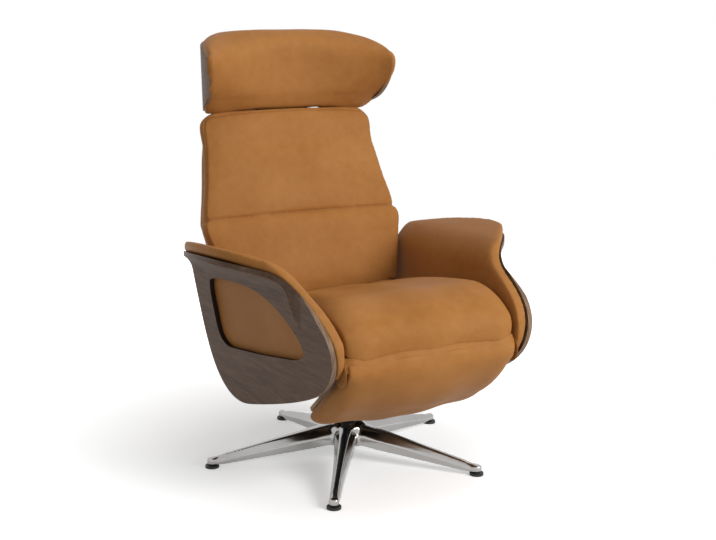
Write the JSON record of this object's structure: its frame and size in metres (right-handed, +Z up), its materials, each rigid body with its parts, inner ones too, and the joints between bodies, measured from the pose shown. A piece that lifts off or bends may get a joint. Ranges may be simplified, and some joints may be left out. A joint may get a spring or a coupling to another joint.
{
  "type": "recliner chair",
  "caption": "Swivel recliner with star base, upholstered seat, reclining back, fold-out legrest, winged height-adjustable headrest and flared arms in bent wood with padded lining",
  "frame": {"origin": "on the floor under the swivel axis, the centre of the bounding box's bottom face within a few millimetres", "axes": "+Z up, the chair faces -Y, +X towards the sitter's left arm"},
  "size_m": [0.823, 0.8638, 1.1111],
  "materials": {
    "leather": "satin",
    "walnut": "satin",
    "plywood": "matte",
    "polished_metal": "polished",
    "black_steel": "satin",
    "bright_steel": "satin",
    "black_plastic": "matte",
    "bearing_plastic": "matte"
  },
  "bodies": {
    "base": {"star_base": "polished_metal", "foot_glides": "black_plastic", "glide_stems": "bright_steel", "column_tube": "black_steel", "lower_bush": "black_plastic", "upper_bush": "black_plastic", "thrust_bearing": "bearing_plastic"},
    "seat": {"swivel_spindle": "bright_steel", "spindle_clip": "bright_steel", "swivel_plate": "black_steel", "front_cross_tube": "black_steel", "rear_cross_tube": "black_steel", "plate_bolts": "bright_steel", "side_plate_left": "black_steel", "side_plate_right": "black_steel", "seat_pan": "plywood", "pan_ledges": "black_steel", "front_rail": "black_steel", "legrest_bushes": "black_plastic", "seat_cushion": "leather", "back_pivot_pins": "bright_steel", "spring_bracket": "black_steel", "spring_front_pin": "bright_steel", "spring_cylinder": "black_steel", "arm_shell_left": "walnut", "arm_shell_right": "walnut", "arm_pad_left": "leather", "arm_pad_right": "leather", "arm_inset_left": "leather", "arm_inset_right": "leather", "arm_standoffs_left": "black_steel", "arm_standoffs_right": "black_steel", "arm_bolts_left": "bright_steel", "arm_bolts_right": "bright_steel"},
    "legrest": {"legrest_pad": "leather", "legrest_board": "plywood", "legrest_rod": "bright_steel", "legrest_clips": "black_steel", "legrest_screw_heads": "bright_steel"},
    "back": {"back_cushion": "leather", "back_cover": "leather", "back_tube_left": "black_steel", "back_tube_right": "black_steel", "back_rail_top": "black_steel", "back_rail_lower": "black_steel", "back_bracket_left": "black_steel", "back_bracket_right": "black_steel", "back_pivot_tube": "black_steel", "back_lever": "black_steel", "spring_rear_pin": "bright_steel", "headrest_guides": "black_plastic"},
    "spring_piston": {"spring_rod": "bright_steel"},
    "headrest_slide": {"headrest_posts": "bright_steel", "headrest_bridge": "black_steel", "headrest_hinge_rod": "bright_steel"},
    "headrest": {"headrest_shell": "walnut", "headrest_cushion": "leather", "headrest_knuckles": "black_steel"}
  },
  "joints": [
    {"name": "swivel", "type": "hinge", "parent": "base", "child": "seat", "pos_m": [0, 0, 0.27], "axis": [0, 0, 1], "continuous": true},
    {"name": "back_recline", "type": "hinge", "parent": "seat", "child": "back", "pos_m": [0, 0.19, 0.395], "axis": [-1, 0, 0], "range_deg": [0, 28]},
    {"name": "recline_spring_stroke", "type": "slide", "parent": "seat", "child": "spring_piston", "axis": [0, -1, 0], "range_m": [0, 0.0616]},
    {"name": "legrest_swing", "type": "hinge", "parent": "seat", "child": "legrest", "pos_m": [0, -0.402, 0.365], "axis": [-1, 0, 0], "range_deg": [0, 105]},
    {"name": "headrest_height", "type": "slide", "parent": "back", "child": "headrest_slide", "axis": [0, 0.3502, 0.9367], "range_m": [0, 0.06]},
    {"name": "headrest_tilt", "type": "hinge", "parent": "headrest_slide", "child": "headrest", "pos_m": [0, 0.376, 0.90651], "axis": [1, 0, 0], "range_deg": [0, 22]}
  ],
  "couplings": [
    {"joint": "recline_spring_stroke", "follows": "back_recline", "m_per_rad": 0.1254}
  ]
}
